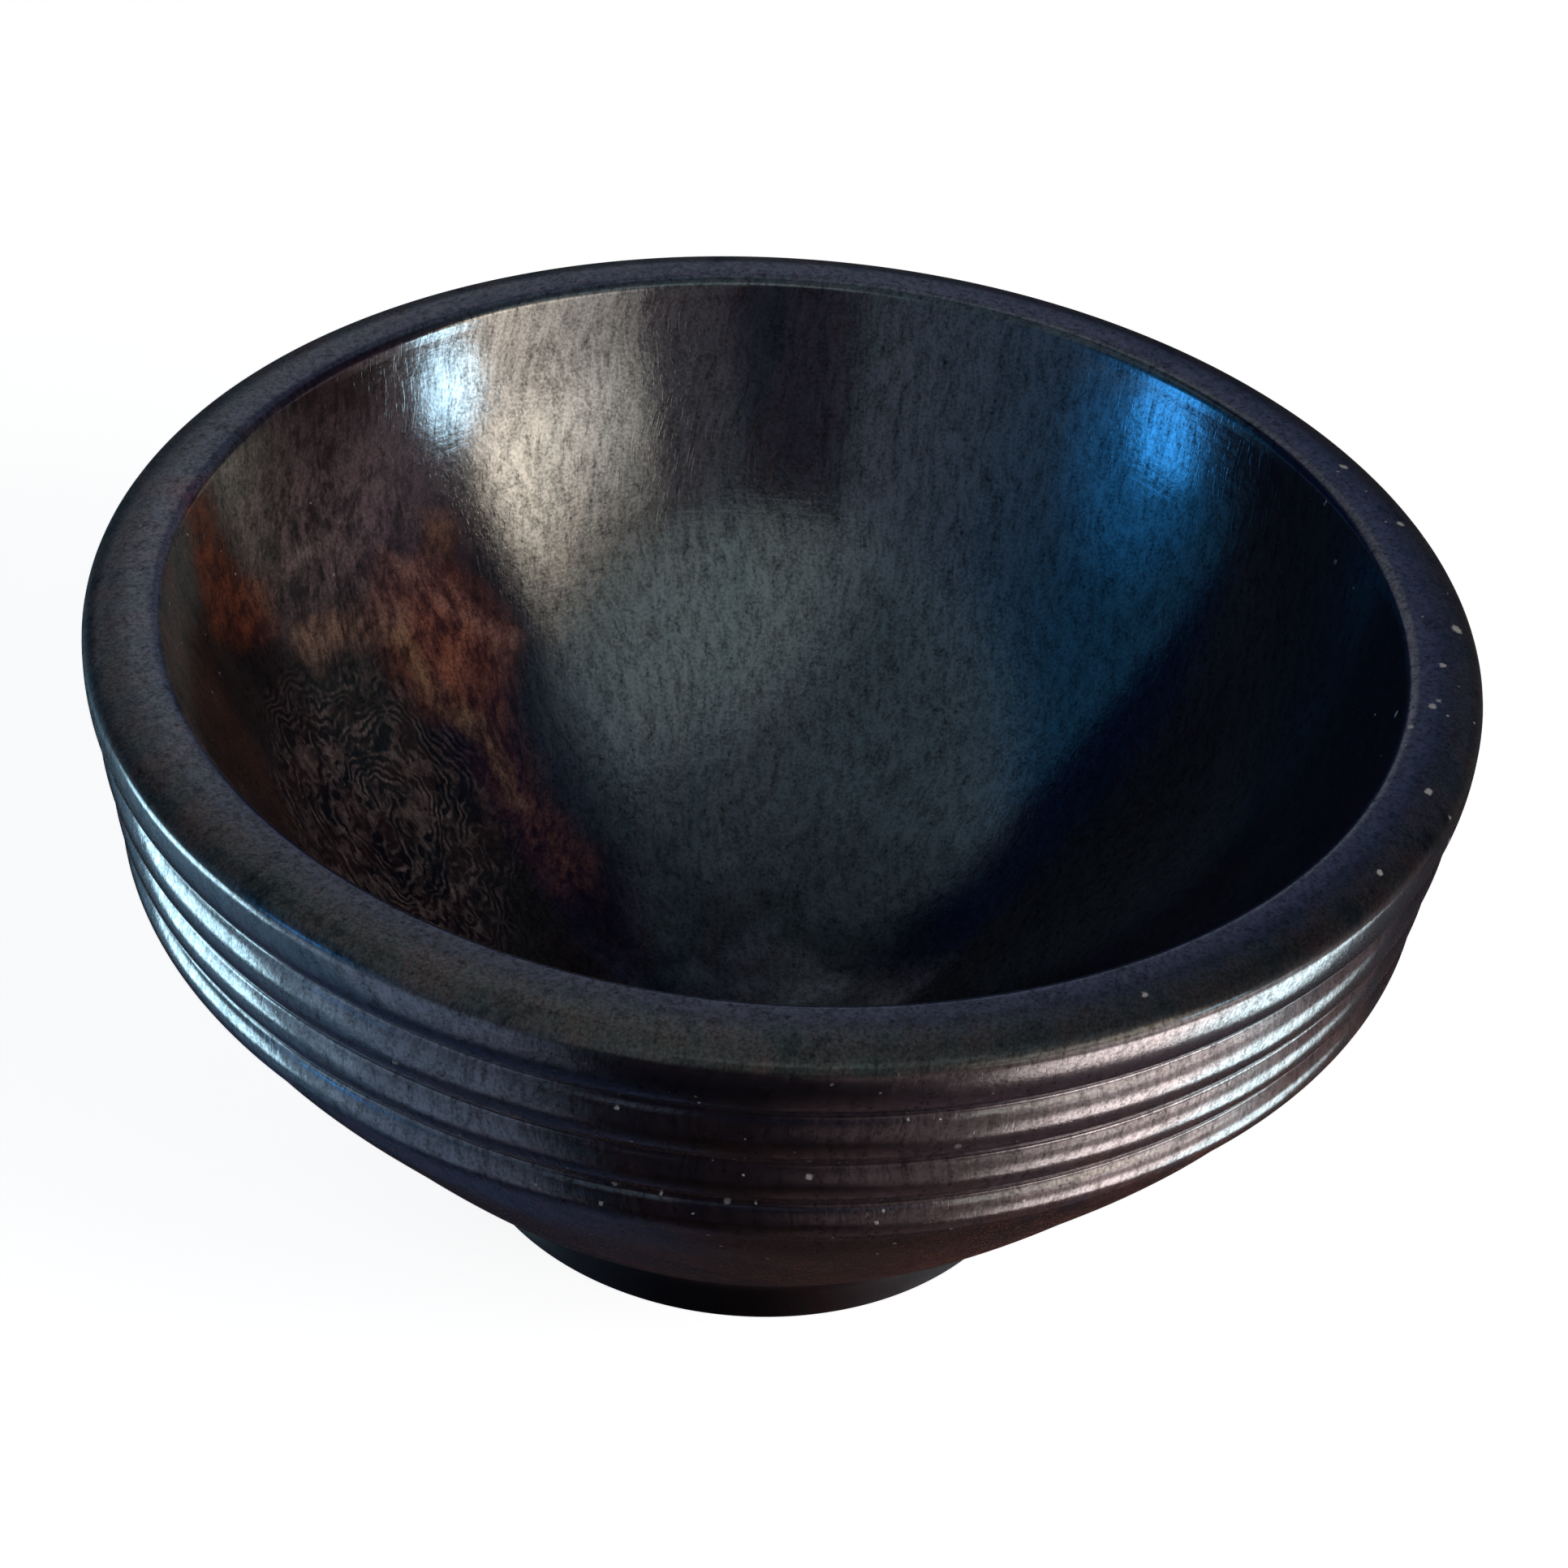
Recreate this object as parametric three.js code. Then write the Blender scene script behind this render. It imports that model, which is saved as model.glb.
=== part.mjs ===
// Turned wooden bowl: one piece of dark hardwood, wide flat rim, three beads
// under the rim, tapering body, short foot with a shallow recess underneath.
// Units are millimetres, +Z is up, the foot stands on z = 0.
import * as THREE from 'three';

// ---- driving dimensions -------------------------------------------------
const RIM_R = 120;            // outer radius of the rim
const HEIGHT = 118;           // foot underside to rim top
const SEGMENTS = 72;          // facets round the axis

const RIM_FLAT_IN = 108.7;    // flat top of the rim, inner edge
const RIM_ROUND = [9.0, 4.8];  // rounding of the rim's outer corner, width and height
const LIP_ROUND = 2.6;        // rounding of the rim's inner corner

// valleys between rim, beads and body: [radius, height]
const VALLEYS = [[116.3, 103.1], [114.6, 91.6], [112.8, 81.8], [110.4, 72.0]];
const BEAD_PROUD = [2.05, 1.8, 2.3];   // how far each bead swells beyond its chord
const VALLEY_CUT = 0.7;       // the valleys are rounded from this far on either side
const RIM_FLARE = [3.4, 2.35];  // the rim's side leaves the top valley towards here

// outside of the body below the beads, down to the waist above the foot
const BODY = [[106.6, 65.6], [101.9, 59.4], [97.0, 53.6], [91.9, 47.7], [86.9, 41.8],
  [81.8, 36.0], [76.2, 30.0], [70.2, 24.2], [64.3, 18.9], [59.3, 14.5], [55.8, 11.3],
  [53.6, 8.9]];
const FOOT = [[52.4, 6.9], [52.1, 5.2], [52.4, 3.2]];   // waist, then out to the foot
const FOOT_R = 52.8;          // foot radius at its widest
const FOOT_EDGE = 1.0;        // rounding of the foot's bottom edge
const FOOT_RING_IN = 40;      // inner radius of the flat standing ring
const RECESS = 2.2;           // depth of the recess inside the ring

// inside wall from the lip down to the centre of the hollow
const LIP_END = 160.5;        // the lip's rounding runs into the sloping wall here (degrees)
const HOLLOW = [[104.5, 111.4], [102.4, 106.0], [98.0, 96.8], [93.1, 88.0], [87.6, 79.5],
  [81.7, 71.2], [75.4, 63.3], [68.7, 55.7], [61.6, 48.5], [54.2, 41.6], [46.3, 35.2],
  [38.0, 29.4], [29.2, 24.5], [19.9, 20.5], [10.1, 18.0]];
const HOLLOW_FLOOR = 17.1;    // height of the lowest point inside

// ---- helpers ------------------------------------------------------------
const V = (r, z) => new THREE.Vector2(r, z);

// quarter round from angle a0 to a1 (degrees) about a centre
function round(cr, cz, rad, a0, a1, steps) {
  const out = [];
  for (let i = 0; i <= steps; i++) {
    const a = THREE.MathUtils.degToRad(a0 + (a1 - a0) * i / steps);
    out.push(V(cr + rad * Math.cos(a), cz + rad * Math.sin(a)));
  }
  return out;
}

// convex bead between two valleys, without its end points
function bead([r0, z0], [r1, z1], proud, steps) {
  const dr = r1 - r0, dz = z1 - z0, len = Math.hypot(dr, dz);
  const nr = -dz / len, nz = dr / len;
  const rad = (len * len / 4 + proud * proud) / (2 * proud);
  const half = Math.asin(len / 2 / rad);
  const out = [];
  for (let i = 1; i < steps; i++) {
    const a = -half + 2 * half * i / steps;
    const along = 0.5 + Math.sin(a) * rad / len;
    const off = proud - rad * (1 - Math.cos(a));
    out.push(V(r0 + dr * along + nr * off, z0 + dz * along + nz * off));
  }
  return out;
}

// side of the rim from the top valley up to where its rounding starts
function rimSide([r, z], steps) {
  const top = HEIGHT - RIM_ROUND[1];
  const curve = new THREE.CubicBezierCurve(V(r, z), V(r + RIM_FLARE[0], z + RIM_FLARE[1]),
    V(RIM_R, top - 4.1), V(RIM_R, top));
  return curve.getPoints(steps).slice(1);
}

// three points in place of a valley's sharp corner
function valley(before, [r, z], after) {
  const c = V(r, z);
  const from = c.clone().add(before.clone().sub(c).setLength(VALLEY_CUT));
  const to = c.clone().add(after.clone().sub(c).setLength(VALLEY_CUT));
  const mid = c.clone().multiplyScalar(2).add(from).add(to).multiplyScalar(0.25);
  return [from, mid, to];
}

// ---- profile, from the underside's centre outwards, up, and back inside --
const profile = [];
profile.push(V(0, RECESS));
profile.push(V(FOOT_RING_IN - 6, RECESS));
profile.push(V(FOOT_RING_IN - 2.2, RECESS * 0.75));
profile.push(V(FOOT_RING_IN - 0.5, RECESS * 0.28));
profile.push(V(FOOT_RING_IN, 0));
profile.push(...round(FOOT_R - FOOT_EDGE, FOOT_EDGE, FOOT_EDGE, -90, 0, 3));
for (const [r, z] of [...FOOT].reverse()) profile.push(V(r, z));
for (const [r, z] of [...BODY].reverse()) profile.push(V(r, z));
const [v0, v1, v2, v3] = VALLEYS;
const bead1 = bead(v0, v1, BEAD_PROUD[0], 7).reverse();
const bead2 = bead(v1, v2, BEAD_PROUD[1], 7).reverse();
const bead3 = bead(v2, v3, BEAD_PROUD[2], 7).reverse();
const side = rimSide(v0, 6);
profile.push(...valley(V(...BODY[0]), v3, bead3[0]), ...bead3);
profile.push(...valley(bead3.at(-1), v2, bead2[0]), ...bead2);
profile.push(...valley(bead2.at(-1), v1, bead1[0]), ...bead1);
profile.push(...valley(bead1.at(-1), v0, side[0]), ...side);
for (let i = 1; i <= 7; i++) {
  const a = Math.PI / 2 * i / 7;
  profile.push(V(RIM_R - RIM_ROUND[0] * (1 - Math.cos(a)), HEIGHT - RIM_ROUND[1] * (1 - Math.sin(a))));
}
profile.push(...round(RIM_FLAT_IN, HEIGHT - LIP_ROUND, LIP_ROUND, 90, LIP_END, 4));
for (const [r, z] of HOLLOW) profile.push(V(r, z));
profile.push(V(0, HOLLOW_FLOOR));

// ---- solid --------------------------------------------------------------
const geometry = new THREE.LatheGeometry(profile, SEGMENTS);
geometry.rotateX(Math.PI / 2);

const wood = new THREE.MeshStandardMaterial({
  name: 'dark_polished_wood',
  color: new THREE.Color(0x2a1510),
  roughness: 0.22,
  metalness: 0.0,
});

const bowl = new THREE.Mesh(geometry, wood);
bowl.name = 'bowl';

const part = new THREE.Group();
part.add(bowl);

export default part;
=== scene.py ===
import math
import bpy
import numpy as np
from mathutils import Matrix, Vector


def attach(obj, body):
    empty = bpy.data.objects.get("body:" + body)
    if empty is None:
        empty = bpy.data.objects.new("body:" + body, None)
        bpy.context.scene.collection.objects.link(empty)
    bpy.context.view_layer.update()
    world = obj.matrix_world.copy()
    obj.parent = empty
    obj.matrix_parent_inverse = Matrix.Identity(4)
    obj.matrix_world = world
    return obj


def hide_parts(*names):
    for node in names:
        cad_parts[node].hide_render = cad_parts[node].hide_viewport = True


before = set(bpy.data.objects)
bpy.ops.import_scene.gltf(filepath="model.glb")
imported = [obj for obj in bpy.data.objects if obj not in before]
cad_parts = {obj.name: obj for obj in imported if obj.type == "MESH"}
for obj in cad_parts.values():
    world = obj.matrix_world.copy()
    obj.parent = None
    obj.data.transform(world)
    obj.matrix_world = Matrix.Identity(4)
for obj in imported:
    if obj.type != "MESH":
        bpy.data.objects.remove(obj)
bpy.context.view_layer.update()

# ------------------------------------------------------------------ profile
# All lengths in this section are millimetres, (radius, height above the floor).
RIM_R, HEIGHT = 120.0, 118.0
VALLEYS = [(116.3, 103.1), (114.6, 91.6), (112.8, 81.8), (110.4, 72.0)]
PROUD = [2.05, 1.8, 2.3]
RIM_ROUND = (9.0, 4.8)
BODY = [(106.6, 65.6), (101.9, 59.4), (97.0, 53.6), (91.9, 47.7), (86.9, 41.8), (81.8, 36.0),
        (76.2, 30.0), (70.2, 24.2), (64.3, 18.9), (59.3, 14.5), (55.8, 11.3), (53.6, 8.9)]
FOOT = [(52.4, 6.9), (52.1, 5.2), (52.4, 3.2), (52.8, 1.0)]
# slope of the hollow (degrees) at fractions of the rim radius
SLOPE = [(0.0, 0.0), (0.12, 14.0), (0.25, 27.0), (0.4, 38.0), (0.55, 46.0), (0.70, 54.0), (0.80, 61.0), (0.884, 70.5)]
FLOOR_Z = 17.1
LIP = (108.7, 115.4, 2.6, 160.5)


def arc(cr, cz, rad, a0, a1, n):
    a = np.radians(np.linspace(a0, a1, n + 1))
    return [(cr + rad * math.cos(t), cz + rad * math.sin(t)) for t in a]


def bead(low, high, proud, n):
    (r0, z0), (r1, z1) = low, high
    dr, dz = r1 - r0, z1 - z0
    length = math.hypot(dr, dz)
    rad = (length * length / 4 + proud * proud) / (2 * proud)
    half = math.asin(length / 2 / rad)
    out = []
    for a in np.linspace(-half, half, n + 1):
        along = 0.5 + math.sin(a) * rad / length
        off = proud - rad * (1 - math.cos(a))
        out.append((r0 + dr * along + dz / length * off, z0 + dz * along - dr / length * off))
    return out


def through(points, step):
    """A smooth curve through the points, sampled about every step mm."""
    p = [np.array(q, float) for q in points]
    p = [2 * p[0] - p[1]] + p + [2 * p[-1] - p[-2]]
    out = [tuple(p[1])]
    for i in range(1, len(p) - 2):
        a, b, c, d = p[i - 1:i + 3]
        t0 = 0.0
        t1 = t0 + math.sqrt(np.linalg.norm(b - a))
        t2 = t1 + math.sqrt(np.linalg.norm(c - b))
        t3 = t2 + math.sqrt(np.linalg.norm(d - c))
        n = max(1, round(float(np.linalg.norm(c - b)) / step))
        for k in range(1, n + 1):
            t = t1 + (t2 - t1) * k / n
            a1 = (t1 - t) / (t1 - t0) * a + (t - t0) / (t1 - t0) * b
            a2 = (t2 - t) / (t2 - t1) * b + (t - t1) / (t2 - t1) * c
            a3 = (t3 - t) / (t3 - t2) * c + (t - t2) / (t3 - t2) * d
            b1 = (t2 - t) / (t2 - t0) * a1 + (t - t0) / (t2 - t0) * a2
            b2 = (t3 - t) / (t3 - t1) * a2 + (t - t1) / (t3 - t1) * a3
            out.append(tuple((t2 - t) / (t2 - t1) * b1 + (t - t1) / (t2 - t1) * b2))
    return out


def hollow(n):
    """The hollow from its centre out to the lip, from its slope."""
    f, s = np.array(SLOPE).T
    fit = np.polyfit(np.r_[f, -f], np.r_[s, -s], 7)
    top_r = LIP[0] + LIP[2] * math.cos(math.radians(LIP[3]))
    top_z = LIP[1] + LIP[2] * math.sin(math.radians(LIP[3]))
    r = np.linspace(0, top_r, 4001)
    tan = np.tan(np.radians(np.polyval(fit, r / RIM_R)))
    z = np.r_[0, np.cumsum((tan[1:] + tan[:-1]) / 2 * np.diff(r))]
    z = FLOOR_Z + z * (top_z - FLOOR_Z) / z[-1]
    s = np.r_[0, np.cumsum(np.hypot(np.diff(r), np.diff(z)))]
    want = np.linspace(0, s[-1], n + 1)
    return list(zip(np.interp(want, s, r), np.interp(want, s, z)))


def eased(points, sigma, fine, coarse, change):
    """The same line with its corners rounded off, resampled every fine mm above the height change and coarse below."""
    p = np.array(points, float)
    s = np.r_[0, np.cumsum(np.hypot(*np.diff(p, axis=0).T))]
    step = 0.05
    even = np.arange(0, s[-1] + step / 2, step)
    k = int(4 * sigma / step)
    w = np.exp(-0.5 * (np.arange(-k, k + 1) * step / sigma) ** 2)
    w /= w.sum()
    out = []
    for c in range(2):
        v = np.interp(even, s, p[:, c])
        v = np.r_[2 * v[0] - v[k:0:-1], v, 2 * v[-1] - v[-2:-k - 2:-1]]
        out.append(np.convolve(v, w, "valid"))
    r, z = out
    at, want = 0.0, [0.0]
    while at < even[-1]:
        at += fine if np.interp(at, even, z) > change else coarse
        want.append(min(at, even[-1]))
    if want[-1] - want[-2] < 0.2:
        del want[-2]
    return list(zip(np.interp(want, even, r), np.interp(want, even, z)))


def build_profile():
    """From the underside's centre out, up the outside, over the rim and down into the hollow."""
    p = [(0.0, 2.2), (12.0, 2.2), (24.0, 2.2), (31.0, 2.2)]
    p += through([(34.0, 2.2), (36.6, 1.98), (38.3, 1.4), (39.4, 0.6), (40.0, 0.12)], 0.8)
    p += [(40.3, 0.0), (43.0, 0.0), (47.0, 0.0), (50.5, 0.0)]
    p += arc(51.8, 1.0, 1.0, -90, 0, 6)
    outside = through([(52.8, 1.0)] + FOOT[::-1][1:] + BODY[::-1] + [VALLEYS[3]], 0.4)
    v0, v1, v2, v3 = VALLEYS
    for run in (bead(v3, v2, PROUD[2], 60), bead(v2, v1, PROUD[1], 60), bead(v1, v0, PROUD[0], 60)):
        outside += run[1:]
    # the side of the rim flares out of the top groove and turns upright
    wide, high = RIM_ROUND
    side = [np.array(v0), np.array((v0[0] + 3.4, v0[1] + 2.35)), np.array((RIM_R, HEIGHT - high - 4.1)), np.array((RIM_R, HEIGHT - high))]
    for t in np.linspace(0, 1, 41)[1:]:
        outside.append(tuple((1 - t) ** 3 * side[0] + 3 * (1 - t) ** 2 * t * side[1] + 3 * (1 - t) * t * t * side[2] + t ** 3 * side[3]))
    for t in np.radians(np.linspace(0, 90, 61)[1:]):
        outside.append((RIM_R - wide + wide * math.cos(t), HEIGHT - high + high * math.sin(t)))
    outside = eased(outside, 0.35, 0.55, 1.3, 71.0)
    top = max(q[1] for q in outside)
    wide_at = max(q[0] for q in outside)
    p += [(q[0] * RIM_R / wide_at, q[1] * (HEIGHT / top if q[1] > 60 else 1.0)) for q in outside[1:]]
    p += [(110.0, 118.0)]
    p += arc(LIP[0], LIP[1], LIP[2], 90, LIP[3], 9)
    p += hollow(84)[::-1][1:]
    return p


def turned(name, profile, segments):
    """A closed solid of revolution, with a map that unrolls it for its textures."""
    # the seam is at the back, and the first and last profile points are on the axis
    ring = profile[1:-1]
    n = len(ring)
    a = math.pi / 2 + np.arange(segments) * 2 * math.pi / segments
    cos, sin = np.cos(a), np.sin(a)
    co = np.zeros((n, segments, 3))
    r = np.array([q[0] for q in ring]) / 1000
    z = np.array([q[1] for q in ring]) / 1000
    co[..., 0] = r[:, None] * cos
    co[..., 1] = r[:, None] * sin
    co[..., 2] = z[:, None]
    verts = [tuple(v) for v in co.reshape(-1, 3)]
    verts += [(0, 0, profile[0][1] / 1000), (0, 0, profile[-1][1] / 1000)]
    low, high = len(verts) - 2, len(verts) - 1
    faces, where = [], []
    s = np.r_[0, np.cumsum([math.dist(profile[i], profile[i + 1]) for i in range(len(profile) - 1)])]
    s = s / s[-1]
    for j in range(segments):
        k = (j + 1) % segments
        u0, u1 = j / segments, (j + 1) / segments
        faces.append((low, k, j)); where.append([((u0 + u1) / 2, 0), (u1, s[1]), (u0, s[1])])
        for i in range(n - 1):
            faces.append((i * segments + j, i * segments + k, (i + 1) * segments + k, (i + 1) * segments + j))
            where.append([(u0, s[i + 1]), (u1, s[i + 1]), (u1, s[i + 2]), (u0, s[i + 2])])
        faces.append(((n - 1) * segments + j, (n - 1) * segments + k, high))
        where.append([(u0, s[n]), (u1, s[n]), ((u0 + u1) / 2, 1)])
    me = bpy.data.meshes.new(name)
    me.from_pydata(verts, [], faces)
    layer = me.uv_layers.new(name="OFBake")
    layer.uv.foreach_set("vector", np.array([c for f in where for c in f], np.float32).ravel())
    me.polygons.foreach_set("use_smooth", np.ones(len(me.polygons), bool))
    me.update()
    ob = bpy.data.objects.new(name, me)
    bpy.context.scene.collection.objects.link(ob)
    return ob


# ------------------------------------------------------------- node graphs
class Graph:
    def __init__(self, tree):
        self.tree = tree
        tree.nodes.clear()

    def node(self, kind, **values):
        n = self.tree.nodes.new(kind)
        for k, v in values.items():
            setattr(n, k, v)
        return n

    def put(self, socket, value):
        if isinstance(value, bpy.types.NodeSocket):
            self.tree.links.new(value, socket)
        else:
            socket.default_value = value

    def math(self, op, a, b=None, c=None, clamp=False):
        n = self.node("ShaderNodeMath", operation=op, use_clamp=clamp)
        for i, v in enumerate((a, b, c)):
            if v is not None:
                self.put(n.inputs[i], v)
        return n.outputs[0]

    def vec(self, op, a, b=None, scale=None):
        n = self.node("ShaderNodeVectorMath", operation=op)
        self.put(n.inputs[0], a)
        if b is not None:
            self.put(n.inputs[1], b)
        if scale is not None:
            self.put(n.inputs["Scale"], scale)
        return n.outputs["Value"] if op in ("LENGTH", "DISTANCE", "DOT_PRODUCT") else n.outputs[0]

    def split(self, v):
        n = self.node("ShaderNodeSeparateXYZ")
        self.put(n.inputs[0], v)
        return n.outputs[0], n.outputs[1], n.outputs[2]

    def join(self, x, y, z):
        n = self.node("ShaderNodeCombineXYZ")
        for s, v in zip(n.inputs, (x, y, z)):
            self.put(s, v)
        return n.outputs[0]

    def between(self, v, a, b, lo=0.0, hi=1.0, kind="SMOOTHSTEP"):
        n = self.node("ShaderNodeMapRange", interpolation_type=kind, clamp=True)
        for s, x in zip(("Value", "From Min", "From Max", "To Min", "To Max"), (v, a, b, lo, hi)):
            self.put(n.inputs[s], x)
        return n.outputs[0]

    def noise(self, v, scale=1.0, detail=2.0, rough=0.5, twist=0.0, colour=False, dims="3D"):
        n = self.node("ShaderNodeTexNoise", noise_dimensions=dims)
        self.put(n.inputs["W" if dims == "1D" else "Vector"], v)
        self.put(n.inputs["Scale"], scale)
        self.put(n.inputs["Detail"], detail)
        self.put(n.inputs["Roughness"], rough)
        self.put(n.inputs["Distortion"], twist)
        return n.outputs["Color"] if colour else n.outputs[0]

    def ramp(self, v, stops, kind="EASE"):
        n = self.node("ShaderNodeValToRGB")
        r = n.color_ramp
        r.interpolation = kind
        while len(r.elements) < len(stops):
            r.elements.new(0.5)
        for e, (at, c) in zip(r.elements, stops):
            e.position = at
            e.color = (*c, 1) if len(c) == 3 else c
        self.put(n.inputs[0], v)
        return n.outputs[0]

    def mix(self, f, a, b, mode="MIX"):
        n = self.node("ShaderNodeMix", data_type="RGBA", blend_type=mode, clamp_factor=True)
        self.put(n.inputs[0], f)
        for s, v in ((n.inputs[6], a), (n.inputs[7], b)):
            self.put(s, (*v, 1) if isinstance(v, tuple) and len(v) == 3 else v)
        return n.outputs[2]

    def near(self, p, centre, radii, soft=1.0):
        """1 at centre, falling to 0 at the ellipsoid with these radii."""
        q = self.vec("SUBTRACT", p, centre)
        q = self.vec("MULTIPLY", q, tuple(1 / r for r in radii))
        return self.between(self.vec("LENGTH", q), 1.0, 1.0 - soft)


# -------------------------------------------------------------------- wood
def wood_material():
    mat = bpy.data.materials.new("dark_polished_wood")
    mat.use_nodes = True
    g = Graph(mat.node_tree)
    out = g.node("ShaderNodeOutputMaterial")
    bsdf = g.node("ShaderNodeBsdfPrincipled")
    g.tree.links.new(bsdf.outputs[0], out.inputs[0])

    place = g.node("ShaderNodeTexCoord").outputs["Object"]
    p = g.vec("SCALE", place, scale=1000.0)          # millimetres
    x, y, z = g.split(p)
    radius = g.math("SQRT", g.math("ADD", g.math("MULTIPLY", x, x), g.math("MULTIPLY", y, y)))

    def swirl(v, scale, size, detail=2):
        n = g.vec("SUBTRACT", g.noise(v, scale, detail, 0.5, colour=True), (0.5, 0.5, 0.5))
        return g.vec("SCALE", n, scale=size)

    # the fibres run up and a little backwards; (u, v) is across them, w along them
    bent = g.vec("ADD", p, swirl(p, 0.017, 22.0))
    bent = g.vec("ADD", bent, swirl(p, 0.06, 4.0))
    u = g.split(bent)[0]
    v = g.vec("DOT_PRODUCT", bent, (0.0, 0.893, -0.45))
    w = g.vec("DOT_PRODUCT", bent, (0.0, 0.45, 0.893))

    # growth rings round a pith outside the bowl, to the left and behind
    ru = g.math("ADD", u, 165.0)
    rv = g.math("SUBTRACT", v, 70.0)
    ring = g.math("SQRT", g.math("ADD", g.math("MULTIPLY", ru, ru), g.math("MULTIPLY", rv, rv)))
    rings = g.noise(ring, 0.21, 5, 0.62, dims="1D")
    broad = g.noise(ring, 0.045, 2, 0.5, dims="1D")

    # fibres: long thin streaks
    fibres = g.noise(g.join(u, v, g.math("MULTIPLY", w, 0.06)), 0.85, 4, 0.65)
    strands = g.noise(g.join(u, v, g.math("MULTIPLY", w, 0.04)), 0.30, 3, 0.6)
    pores = g.noise(g.join(u, v, g.math("MULTIPLY", w, 0.07)), 2.2, 2, 0.5)
    pores = g.between(pores, 0.58, 0.70)
    mottle = g.noise(g.join(u, v, g.math("MULTIPLY", w, 0.30)), 0.62, 3, 0.7)
    grit = g.noise(p, 1.7, 2, 0.6)
    cloud = g.noise(p, 0.085, 3, 0.6, twist=0.4)

    # a knot on the left inside: tangled wavy lines round its eye
    k = g.vec("SUBTRACT", p, (-69.0, 8.0, 57.0))
    k = g.vec("ADD", k, swirl(p, 0.040, 26.0, 1))
    k = g.vec("ADD", k, swirl(p, 0.11, 13.0))
    k = g.vec("ADD", k, swirl(p, 0.30, 4.4))
    away = g.vec("LENGTH", g.vec("MULTIPLY", k, (1.0, 0.8, 0.9)))
    lines = g.math("SINE", g.math("MULTIPLY", away, 2 * math.pi / 2.1))
    lines = g.math("MULTIPLY", g.between(lines, -0.6, 1.0), g.between(g.noise(p, 0.20, 3, 0.6), 0.34, 0.66, 0.05, 1.0))
    blobs = g.between(g.noise(g.vec("ADD", p, swirl(p, 0.2, 6.0)), 0.15, 3, 0.6, twist=1.0), 0.52, 0.66)
    lines = g.math("MAXIMUM", lines, g.math("MULTIPLY", blobs, 0.7))
    in_knot = g.near(p, (-72.0, 6.0, 56.0), (42.0, 44.0, 40.0), 0.6)

    # strokes of paler wood that bend round the knot
    rough_edge = g.vec("ADD", p, g.vec("ADD", swirl(p, 0.11, 7.0), swirl(p, 0.5, 2.6)))

    def stroke(points, width, soft=0.2):
        total = None
        for (a, b) in zip(points, points[1:]):
            d = Vector(b) - Vector(a)
            rel = g.vec("SUBTRACT", rough_edge, a)
            t = g.math("DIVIDE", g.vec("DOT_PRODUCT", rel, tuple(d)), d.length_squared, clamp=True)
            foot = g.vec("SCALE", tuple(d), scale=t)
            shape = g.between(g.vec("DISTANCE", rel, foot), width, width * soft)
            total = shape if total is None else g.math("MAXIMUM", total, shape)
        return total

    # colour
    tone = g.math("ADD", g.math("MULTIPLY", rings, 0.45), g.math("MULTIPLY", fibres, 0.35))
    tone = g.math("ADD", tone, g.math("MULTIPLY", mottle, 0.20))
    colour = g.ramp(tone, [(0.34, (0.0016, 0.0012, 0.0014)), (0.47, (0.0060, 0.0038, 0.0036)), (0.58, (0.0170, 0.0090, 0.0068)), (0.72, (0.040, 0.0180, 0.0120))])
    red = g.between(broad, 0.47, 0.66)
    colour = g.mix(g.math("MULTIPLY", red, 0.45), colour, g.ramp(fibres, [(0.3, (0.0085, 0.0028, 0.0022)), (0.7, (0.043, 0.0125, 0.0078))]))

    # painted cool reflection: the base colour on the right of the bowl is tinted bluer and less red
    colour = g.mix(g.between(x, -10.0, 60.0), colour, (0.40, 0.60, 1.60), "MULTIPLY")
    # painted shade: the front of the rim's side, under its rounded edge, darkened with a blue cast
    painted_shade_under_rim = g.near(p, (-5.0, -116.0, 108.0), (95.0, 34.0, 12.0), 0.35)
    colour = g.mix(g.math("MULTIPLY", painted_shade_under_rim, g.math("MULTIPLY", g.between(z, 101.5, 103.5), g.between(z, 113.4, 112.0))), colour, (0.32, 0.42, 0.75), "MULTIPLY")

    # the rim's outer corner and its left are rubbed dull, and their pale grey colour is partly wear and partly a
    # painted sheen and highlight of the light the rim catches
    corner = g.math("MULTIPLY", g.between(z, 113.5, 114.6), g.between(radius, 109.5, 116.0))
    corner_wear_and_highlight = g.math("MULTIPLY", corner, g.between(x, 70.0, -40.0, 0.25, 1.0))
    warm = g.math("MULTIPLY", g.near(p, (-112.0, -30.0, 116.0), (34.0, 110.0, 16.0), 0.6), 0.8)
    rub_and_painted_sheen = g.math("MULTIPLY", g.math("MAXIMUM", corner_wear_and_highlight, warm), g.between(g.math("ADD", cloud, g.math("MULTIPLY", g.math("SUBTRACT", mottle, 0.5), 0.8)), 0.12, 0.52))
    colour = g.mix(g.math("MULTIPLY", rub_and_painted_sheen, 0.85), colour, g.ramp(g.noise(p, 0.13, 3, 0.65), [(0.35, (0.096, 0.122, 0.116)), (0.50, (0.165, 0.162, 0.152)), (0.65, (0.205, 0.158, 0.146))]))
    side = g.near(p, (70.0, -78.0, 50.0), (80.0, 66.0, 66.0), 0.7)
    side = g.math("MULTIPLY", side, g.between(g.math("ADD", g.math("MULTIPLY", cloud, 0.5), g.math("MULTIPLY", strands, 0.5)), 0.36, 0.60))
    colour = g.mix(g.math("MULTIPLY", side, 0.7), colour, g.ramp(fibres, [(0.3, (0.030, 0.0105, 0.0070)), (0.7, (0.105, 0.040, 0.026))]))

    # painted shade: the foot darkened towards the floor, most on its left, away from the key light
    painted_foot_shade = g.math("MULTIPLY", g.between(z, 14.0, 7.0), g.between(x, 30.0, -10.0, 0.25, 0.85))
    colour = g.mix(painted_foot_shade, colour, (0.0030, 0.0024, 0.0034))

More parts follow.
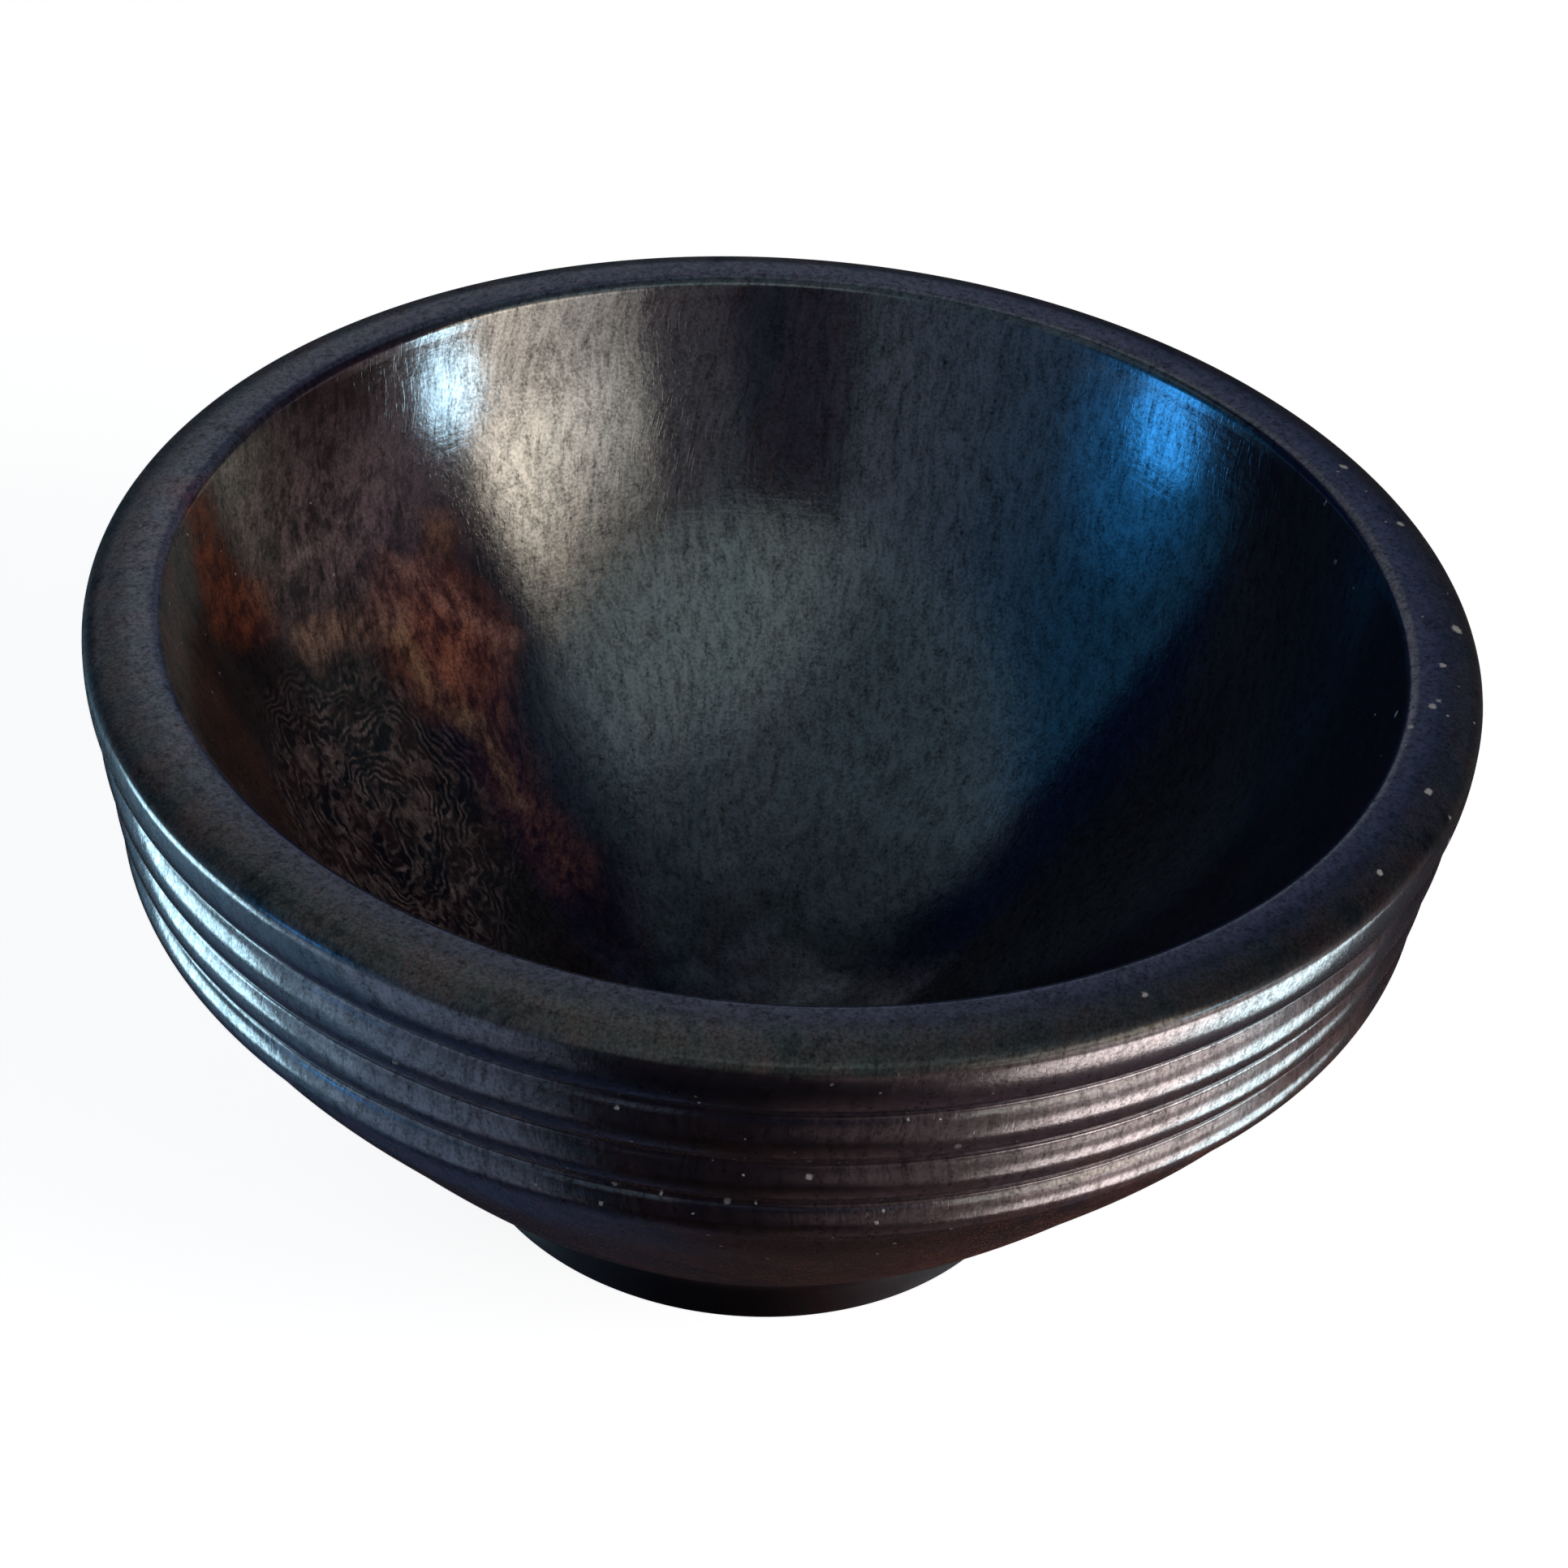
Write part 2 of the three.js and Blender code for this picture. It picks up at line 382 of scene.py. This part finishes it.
    # the knot, then red, orange and salmon wood over it
    knot_dark = g.mix(g.between(cloud, 0.42, 0.60), (0.0022, 0.0018, 0.0034), (0.026, 0.0105, 0.0095))
    knot_colour = g.mix(g.math("MULTIPLY", lines, g.between(mottle, 0.35, 0.62, 0.35, 1.0)), knot_dark, (0.260, 0.185, 0.172))
    colour = g.mix(in_knot, colour, knot_colour)
    streaky = g.noise(g.vec("MULTIPLY", g.vec("ADD", bent, swirl(p, 0.05, 14.0)), (0.8, 0.45, 0.6)), 0.33, 5, 0.70)
    fleck = g.math("ADD", g.math("MULTIPLY", streaky, 0.6), g.math("MULTIPLY", mottle, 0.4))
    patchy = g.between(g.math("ADD", g.math("MULTIPLY", cloud, 0.4), g.math("MULTIPLY", fleck, 0.6)), 0.36, 0.55)

    def lay(colour, shape, strength, dark, light):
        paint = g.ramp(fleck, [(0.38, dark), (0.62, light)])
        return g.mix(g.math("MULTIPLY", g.math("MULTIPLY", shape, strength), g.math("ADD", 0.35, g.math("MULTIPLY", patchy, 0.65))), colour, paint)

    brown = g.near(rough_edge, (-84.0, 44.0, 96.0), (34.0, 34.0, 30.0), 0.8)
    colour = lay(colour, brown, 0.75, (0.070, 0.048, 0.054), (0.330, 0.215, 0.225))
    colour = lay(colour, stroke([(-52, 42, 54), (-46, 32, 44), (-37, 28, 36)], 11.0, 0.1), 0.75, (0.050, 0.014, 0.010), (0.230, 0.090, 0.055))
    colour = lay(colour, g.near(rough_edge, (-63.0, 48.0, 71.0), (22.0, 17.0, 22.0), 0.7), 0.95, (0.130, 0.040, 0.022), (0.500, 0.180, 0.092))
    colour = lay(colour, stroke([(-104, 19, 114), (-100, 11, 102), (-94, 20, 95)], 10.0, 0.25), 0.95, (0.085, 0.016, 0.010), (0.250, 0.066, 0.026))
    colour = lay(colour, stroke([(-86, 26, 83), (-79, 37, 79), (-72, 46, 76)], 6.2, 0.1), 0.8, (0.130, 0.050, 0.034), (0.440, 0.250, 0.180))
    colour = lay(colour, stroke([(-73, 53, 83), (-62, 55.5, 73.5), (-53, 56, 65)], 4.6, 0.1), 0.5, (0.170, 0.062, 0.040), (0.520, 0.270, 0.200))
    colour = lay(colour, stroke([(-72, 43, 74), (-63, 40.5, 63), (-54, 40.5, 54.7), (-48, 34, 47)], 4.0, 0.1), 0.55, (0.190, 0.085, 0.040), (0.520, 0.330, 0.170))
    colour = lay(colour, stroke([(-92, 31, 95), (-86.5, 41, 93)], 3.0, 0.1), 0.6, (0.200, 0.110, 0.110), (0.560, 0.420, 0.430))
    colour = lay(colour, g.near(rough_edge, (-66.0, 62.0, 84.5), (7.0, 7.0, 8.0), 0.8), 0.8, (0.080, 0.030, 0.010), (0.250, 0.110, 0.040))
    colour = g.mix(g.math("MULTIPLY", pores, 0.5), colour, (0.002, 0.0014, 0.0014))
    colour = g.mix(1.0, colour, g.ramp(grit, [(0.30, (0.55, 0.55, 0.55)), (0.70, (1.45, 1.45, 1.45))], "LINEAR"), "MULTIPLY")

    # dust and small chips, mostly on the right of the rim and the front beads
    def specks(scale, size, share, where):
        n = g.node("ShaderNodeTexVoronoi", feature="F1", distance="EUCLIDEAN")
        g.put(n.inputs["Vector"], g.vec("ADD", p, swirl(p, 0.9, 0.9)))
        g.put(n.inputs["Scale"], scale)
        g.put(n.inputs["Randomness"], 1.0)
        dot = g.between(n.outputs["Distance"], size, size * 0.55)
        some = g.between(g.split(n.outputs["Color"])[0], share, share + 0.02)
        return g.math("MULTIPLY", g.math("MULTIPLY", dot, some), where)

    right = g.near(p, (112.0, 20.0, 114.0), (26.0, 84.0, 14.0), 0.3)
    front = g.near(p, (4.0, -110.0, 84.0), (60.0, 30.0, 36.0), 0.3)
    left = g.near(p, (-100.0, 20.0, 98.0), (40.0, 60.0, 30.0), 0.3)
    speck = specks(0.150, 0.125, 0.60, g.math("MAXIMUM", right, g.math("MULTIPLY", front, 0.5)))
    speck = g.math("MAXIMUM", speck, specks(0.40, 0.13, 0.84, g.math("MAXIMUM", right, g.math("MAXIMUM", front, g.math("MULTIPLY", left, 0.6)))))
    # the larger ones: (x, y, z, radius) in millimetres
    ragged = g.vec("ADD", p, swirl(p, 1.1, 1.1))
    for cx, cy, cz, size in ((98.3, 57.0, 117.8, 1.0), (107.7, 40.2, 117.5, 0.9), (115.8, 9.0, 117.1, 1.3), (112.5, -3.4, 117.9, 0.8),
                             (109.9, -15.7, 118.0, 0.9), (107.8, -39.4, 117.6, 0.9), (98.6, -61.7, 117.1, 0.7), (59.9, -97.9, 117.5, 0.7),
                             (-20.4, -115.4, 101.2, 0.55), (-22.2, -111.8, 77.9, 0.5), (10.2, -114.9, 89.6, 0.75), (21.4, -112.0, 78.4, 0.5),
                             (-56.0, -103.1, 96.3, 0.65)):
        speck = g.math("MAXIMUM", speck, g.near(ragged, (cx, cy, cz), (size, size, size), 0.5))
    colour = g.mix(g.math("MULTIPLY", speck, 0.9), colour, (0.95, 0.93, 0.90))

    g.put(bsdf.inputs["Base Color"], colour)
    rough = g.math("ADD", 0.34, g.math("MULTIPLY", g.noise(p, 0.05, 3, 0.55), 0.16))
    rough = g.math("ADD", rough, g.math("MULTIPLY", mottle, 0.10))
    rough = g.math("ADD", rough, g.math("MULTIPLY", pores, 0.12))
    rough = g.math("ADD", rough, g.math("MULTIPLY", speck, 0.3), clamp=True)
    g.put(bsdf.inputs["Roughness"], rough)
    bsdf.inputs["IOR"].default_value = 1.5
    bsdf.inputs["Specular IOR Level"].default_value = 0.03
    # the polish is worn thin in fine spots, along the fibres and on the rim's corner; towards the foot the coat fades
    # out as painted shade, dimming reflections where the floor and the bowl shade it
    worn = g.math("ADD", g.math("MULTIPLY", g.math("SUBTRACT", mottle, 0.5), 1.5), g.math("MULTIPLY", g.math("SUBTRACT", grit, 0.5), 1.5))
    worn = g.math("ADD", worn, g.math("MULTIPLY", g.math("SUBTRACT", fibres, 0.5), 0.7))
    gloss = g.math("ADD", 0.74, worn, clamp=True)
    gloss = g.math("SUBTRACT", gloss, g.math("MULTIPLY", pores, 0.12), clamp=True)
    gloss = g.math("MULTIPLY", gloss, g.math("SUBTRACT", 1.0, g.math("MULTIPLY", corner, 0.74)))
    # painted shade: less coat towards the foot, so its reflections dim as if in shadow
    gloss = g.math("MULTIPLY", gloss, g.between(g.math("ADD", z, g.math("MULTIPLY", g.math("SUBTRACT", cloud, 0.5), 26.0)), 9.0, 46.0, 0.06, 1.0))
    gloss = g.math("MULTIPLY", gloss, g.between(z, 7.0, 15.0))
    gloss = g.math("MULTIPLY", gloss, g.math("SUBTRACT", 1.0, g.math("MULTIPLY", g.near(p, (8.0, -70.0, 62.0), (66.0, 38.0, 50.0), 0.7), 0.8)))
    gloss = g.math("MULTIPLY", gloss, g.math("SUBTRACT", 1.0, g.math("MULTIPLY", speck, 0.6)))
    g.put(bsdf.inputs["Coat Weight"], gloss)
    bsdf.inputs["Coat Roughness"].default_value = 0.125
    bsdf.inputs["Coat IOR"].default_value = 1.6

    # surface relief, in millimetres: turning marks, pores, hand-rubbed unevenness
    turning = g.noise(g.join(radius, z, 0.0), 0.9, 3, 0.5)
    uneven = g.noise(p, 0.45, 3, 0.6)
    relief = g.math("ADD", g.math("MULTIPLY", turning, 0.010), g.math("MULTIPLY", uneven, 0.026))
    relief = g.math("ADD", relief, g.math("MULTIPLY", strands, 0.020))
    relief = g.math("ADD", relief, g.math("MULTIPLY", grit, 0.007))
    relief = g.math("SUBTRACT", relief, g.math("MULTIPLY", pores, 0.006))
    relief = g.math("ADD", relief, g.math("MULTIPLY", speck, 0.04))
    bump = g.node("ShaderNodeBump")
    g.put(bump.inputs["Strength"], 1.0)
    g.put(bump.inputs["Distance"], 0.001)
    g.put(bump.inputs["Height"], relief)
    g.put(bsdf.inputs["Normal"], bump.outputs[0])
    g.put(bsdf.inputs["Coat Normal"], bump.outputs[0])
    return mat


# ------------------------------------------------------------------- stage
def floor_material():
    mat = bpy.data.materials.new("pale_floor")
    mat.use_nodes = True
    g = Graph(mat.node_tree)
    out = g.node("ShaderNodeOutputMaterial")
    dif = g.node("ShaderNodeBsdfDiffuse")
    dif.inputs["Color"].default_value = (0.9, 0.9, 0.9, 1)
    emi = g.node("ShaderNodeEmission")
    emi.inputs["Color"].default_value = (1, 1, 1, 1)
    emi.inputs["Strength"].default_value = 0.90
    both = g.node("ShaderNodeAddShader")
    g.tree.links.new(dif.outputs[0], both.inputs[0])
    g.tree.links.new(emi.outputs[0], both.inputs[1])
    g.tree.links.new(both.outputs[0], out.inputs[0])
    return mat


def studio_world():
    """What the polish mirrors: a dim room with a pale ceiling, a warm curtained window to the right and a small cool
    one to the left. Angles are degrees: az from the viewer's side towards +X, el above the horizon."""
    world = bpy.data.worlds.new("studio")
    bpy.context.scene.world = world
    world.use_nodes = True
    g = Graph(world.node_tree)
    out = g.node("ShaderNodeOutputWorld")
    d = g.vec("NORMALIZE", g.node("ShaderNodeTexCoord").outputs["Generated"])
    x, y, z = g.split(d)
    az = g.math("MULTIPLY", g.math("ARCTAN2", x, g.math("MULTIPLY", y, -1.0)), 57.29578)
    el = g.math("MULTIPLY", g.math("ARCSINE", z), 57.29578)

    def box(a0, a1, sa, e0, e1, se):
        f = g.math("MULTIPLY", g.between(az, a0 - sa, a0 + sa), g.between(az, a1 + sa, a1 - sa))
        h = g.math("MULTIPLY", g.between(el, e0 - se, e0 + se), g.between(el, e1 + se, e1 - se))
        return g.math("MULTIPLY", f, h)

    def glow(c, shape, colour):
        return g.vec("ADD", c, g.vec("SCALE", colour, scale=shape))

    def lump(a0, e0, wide, high):
        """A soft round patch of light that fades out at these distances from its middle."""
        u = g.math("DIVIDE", g.math("SUBTRACT", az, a0), wide)
        v = g.math("DIVIDE", g.math("SUBTRACT", el, e0), high)
        return g.between(g.math("ADD", g.math("MULTIPLY", u, u), g.math("MULTIPLY", v, v)), 1.0, 0.0)

    def times(*shapes):
        out = shapes[0]
        for one in shapes[1:]:
            out = g.math("MULTIPLY", out, one)
        return out

    # below the horizon: a dark table, paler and blue to the left, warm to the right
    c = g.mix(g.between(x, -0.2, 0.2), (0.011, 0.010, 0.015), (0.040, 0.026, 0.022))
    c = g.mix(g.between(el, -4, 8), c, (0.012, 0.040, 0.17))
    below = g.between(el, 8, -2)
    c = glow(c, times(below, lump(-84, -20, 70, 42)), (0.34, 0.72, 1.15))
    c = glow(c, times(below, box(-74, -32, 9, -52, 8, 8)), (0.72, 0.76, 1.08))
    c = glow(c, times(below, box(-26, 22, 10, -44, 4, 8)), (0.05, 0.045, 0.09))
    c = glow(c, lump(62, -16, 62, 44), (1.5, 1.1, 1.1))
    c = glow(c, times(below, lump(66, -66, 70, 34)), (0.26, 0.16, 0.18))
    c = glow(c, times(below, lump(-96, -66, 90, 34)), (0.05, 0.09, 0.20))
    # the wall behind the bowl, paler to the left
    back = g.mix(g.between(x, -0.24, 0.24), (0.80, 0.86, 0.98), (0.18, 0.24, 0.46))
    c = glow(c, times(g.between(g.math("ABSOLUTE", az), 118, 138), g.between(el, 8, 20)), back)
    # the wall behind the viewer, left of a dark doorway with a paler frame
    wall = g.mix(g.between(az, -74, -10), (0.08, 0.44, 0.86), (0.66, 0.84, 1.02))
    c = glow(c, box(-92, -11, 1.5, 2, 39, 5), wall)
    c = glow(c, times(box(-11, 30, 1.5, 6, 35, 1.5)), (0.16, 0.19, 0.22))
    lean = g.math("ADD", az, g.math("MULTIPLY", g.math("SUBTRACT", el, 22), 0.16))
    c = glow(c, times(g.between(lean, 11.5, 14), g.between(az, 31, 29), g.between(el, 6, 10), g.between(el, 36, 34)), (0.42, 0.44, 0.46))
    c = glow(c, times(g.between(lean, -5, -7), g.between(az, -12, -10), g.between(el, 6, 10), g.between(el, 36, 34)), (0.13, 0.13, 0.13))
    # ceiling, brightest over the doorway and the window
    above = g.math("MAXIMUM", box(-97, 68, 9, 37, 120, 4), g.between(el, 48, 62, 0.0, 0.65))
    c = glow(c, times(above, g.between(el, 92, 56, 0.80, 1.0)), (0.52, 0.76, 0.86))
    c = glow(c, times(g.between(az, 55, 66), g.between(az, 100, 74), g.between(el, 30, 38), g.between(el, 64, 50)), (0.20, 0.34, 0.42))
    c = glow(c, times(lump(26, 42, 55, 17), g.between(el, 33.5, 36)), (1.25, 1.55, 1.46))
    c = g.vec("SCALE", c, scale=0.8)
    # window to the right, seen from inside the bowl, with the sun on its right half
    slope = g.between(az, 30.5, 60, 0.22, 1.0, "LINEAR")
    side = times(g.between(az, 29.5, 31.5), slope, g.between(az, 72.5, 62))
    tall = times(g.between(el, -4, 1), g.between(el, 12, 17, 0.60, 1.0), g.between(el, 39.5, 18))
    c = glow(c, times(side, tall), g.mix(g.between(az, 34, 60), (15.5, 15.0, 13.6), (16.2, 14.5, 12.0)))
    c = glow(c, lump(69, 7.5, 8.0, 6.5), (16.0, 25.0, 31.0))
    # window to the left, seen from inside the bowl
    c = glow(c, lump(-70.5, 5.5, 9.5, 6.5), (0.7, 6.4, 17.5))
    c = glow(c, lump(-68, 9, 20, 17), (0.04, 0.75, 2.1))
    # the same two windows low down, seen by the beads and the rim
    tint = g.mix(g.between(az, 70, 90), (1.0, 0.86, 0.84), (0.80, 1.0, 1.06))
    right = times(g.between(az, 34, 62), g.between(az, 115, 97))
    c = glow(c, times(right, g.between(el, -49, -43), g.between(el, -22, -31)), g.vec("SCALE", tint, scale=11.0))
    c = glow(c, times(right, g.between(az, 88, 76), g.between(el, 3.5, -1.5), g.between(el, -13.5, -8)), g.vec("SCALE", tint, scale=6.0))
    c = glow(c, times(right, g.between(az, 96, 78), g.between(el, 1, -8), g.between(el, -44, -34)), g.vec("SCALE", tint, scale=2.6))
    c = glow(c, box(-114, -83, 4, -32, -12, 4), (8.8, 13.8, 16.4))
    c = glow(c, lump(-75, -17, 17, 22), (0.85, 1.2, 1.6))
    room = g.node("ShaderNodeBackground")
    g.put(room.inputs[0], c)
    room.inputs[1].default_value = 1.0
    paper = g.node("ShaderNodeBackground")
    paper.inputs[0].default_value = (1, 1, 1, 1)
    paper.inputs[1].default_value = 1.0
    soft = g.node("ShaderNodeBackground")
    soft.inputs[0].default_value = (0.8, 0.9, 1.0, 1)
    g.put(soft.inputs[1], g.between(z, -0.1, 0.4, 0.006, 0.065))
    path = g.node("ShaderNodeLightPath")
    m1 = g.node("ShaderNodeMixShader")
    g.put(m1.inputs[0], path.outputs["Is Glossy Ray"])
    g.tree.links.new(soft.outputs[0], m1.inputs[1])
    g.tree.links.new(room.outputs[0], m1.inputs[2])
    m2 = g.node("ShaderNodeMixShader")
    g.put(m2.inputs[0], path.outputs["Is Camera Ray"])
    g.tree.links.new(m1.outputs[0], m2.inputs[1])
    g.tree.links.new(paper.outputs[0], m2.inputs[2])
    g.tree.links.new(m2.outputs[0], out.inputs[0])
    world.cycles.sampling_method = "NONE"


def toward(az, el, dist):
    a, e = math.radians(az), math.radians(el)
    return Vector((math.sin(a) * math.cos(e), -math.cos(a) * math.cos(e), math.sin(e))) * dist


def soft_light(name, az, el, dist, size, radiance, colour):
    """A square panel, with the brightness its face shows."""
    data = bpy.data.lights.new(name, "AREA")
    data.shape = "SQUARE"
    data.size = size
    data.energy = radiance * math.pi * size * size
    data.color = colour
    ob = bpy.data.objects.new(name, data)
    ob.location = toward(az, el, dist) + Vector((0, 0, 0.06))
    ob.rotation_euler = (ob.location - Vector((0, 0, 0.06))).to_track_quat("Z", "Y").to_euler()
    ob.visible_glossy = False
    ob.visible_camera = False
    bpy.context.scene.collection.objects.link(ob)
    return ob


def camera():
    rho, h, yaw, pitch, roll, f = 5.6883, 3.9514, 0.0026, 0.0372, 0.078, 5969.268
    unit = RIM_R / 1000
    place = Vector((0, -rho * unit, h * unit + HEIGHT / 1000))
    t = math.atan2(h, rho) + pitch
    fw = Vector((math.sin(yaw) * math.cos(t), math.cos(yaw) * math.cos(t), -math.sin(t)))
    right = fw.cross(Vector((0, 0, 1))).normalized()
    up = right.cross(fw)
    r2 = math.cos(roll) * right + math.sin(roll) * up
    u2 = -math.sin(roll) * right + math.cos(roll) * up
    data = bpy.data.cameras.new("camera")
    data.sensor_fit = "HORIZONTAL"
    data.sensor_width = 36.0
    data.lens = f / 1932 * 36
    data.clip_start = 0.01
    data.clip_end = 50
    ob = bpy.data.objects.new("camera", data)
    m = Matrix((r2, u2, -fw)).transposed().to_4x4()
    m.translation = place
    ob.matrix_world = m
    bpy.context.scene.collection.objects.link(ob)
    bpy.context.scene.camera = ob


camera()

bowl = turned("turned_bowl", build_profile(), 300)
bowl.data.materials.append(wood_material())
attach(bowl, "root")
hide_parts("bowl")

me = bpy.data.meshes.new("floor")
me.from_pydata([(-6, -6, 0), (6, -6, 0), (6, 6, 0), (-6, 6, 0)], [], [(0, 1, 2, 3)])
floor = bpy.data.objects.new("floor", me)
bpy.context.scene.collection.objects.link(floor)
floor.data.materials.append(floor_material())
floor.visible_glossy = False
floor.visible_diffuse = False

studio_world()
soft_light("key", 58, 30, 2.0, 1.1, 2.2, (1.0, 0.93, 0.86))
soft_light("side", -75, 15, 2.0, 0.7, 0.8, (0.45, 0.72, 1.0))

bpy.context.scene.view_settings.view_transform = "Standard"
bpy.context.scene.view_settings.look = "None"
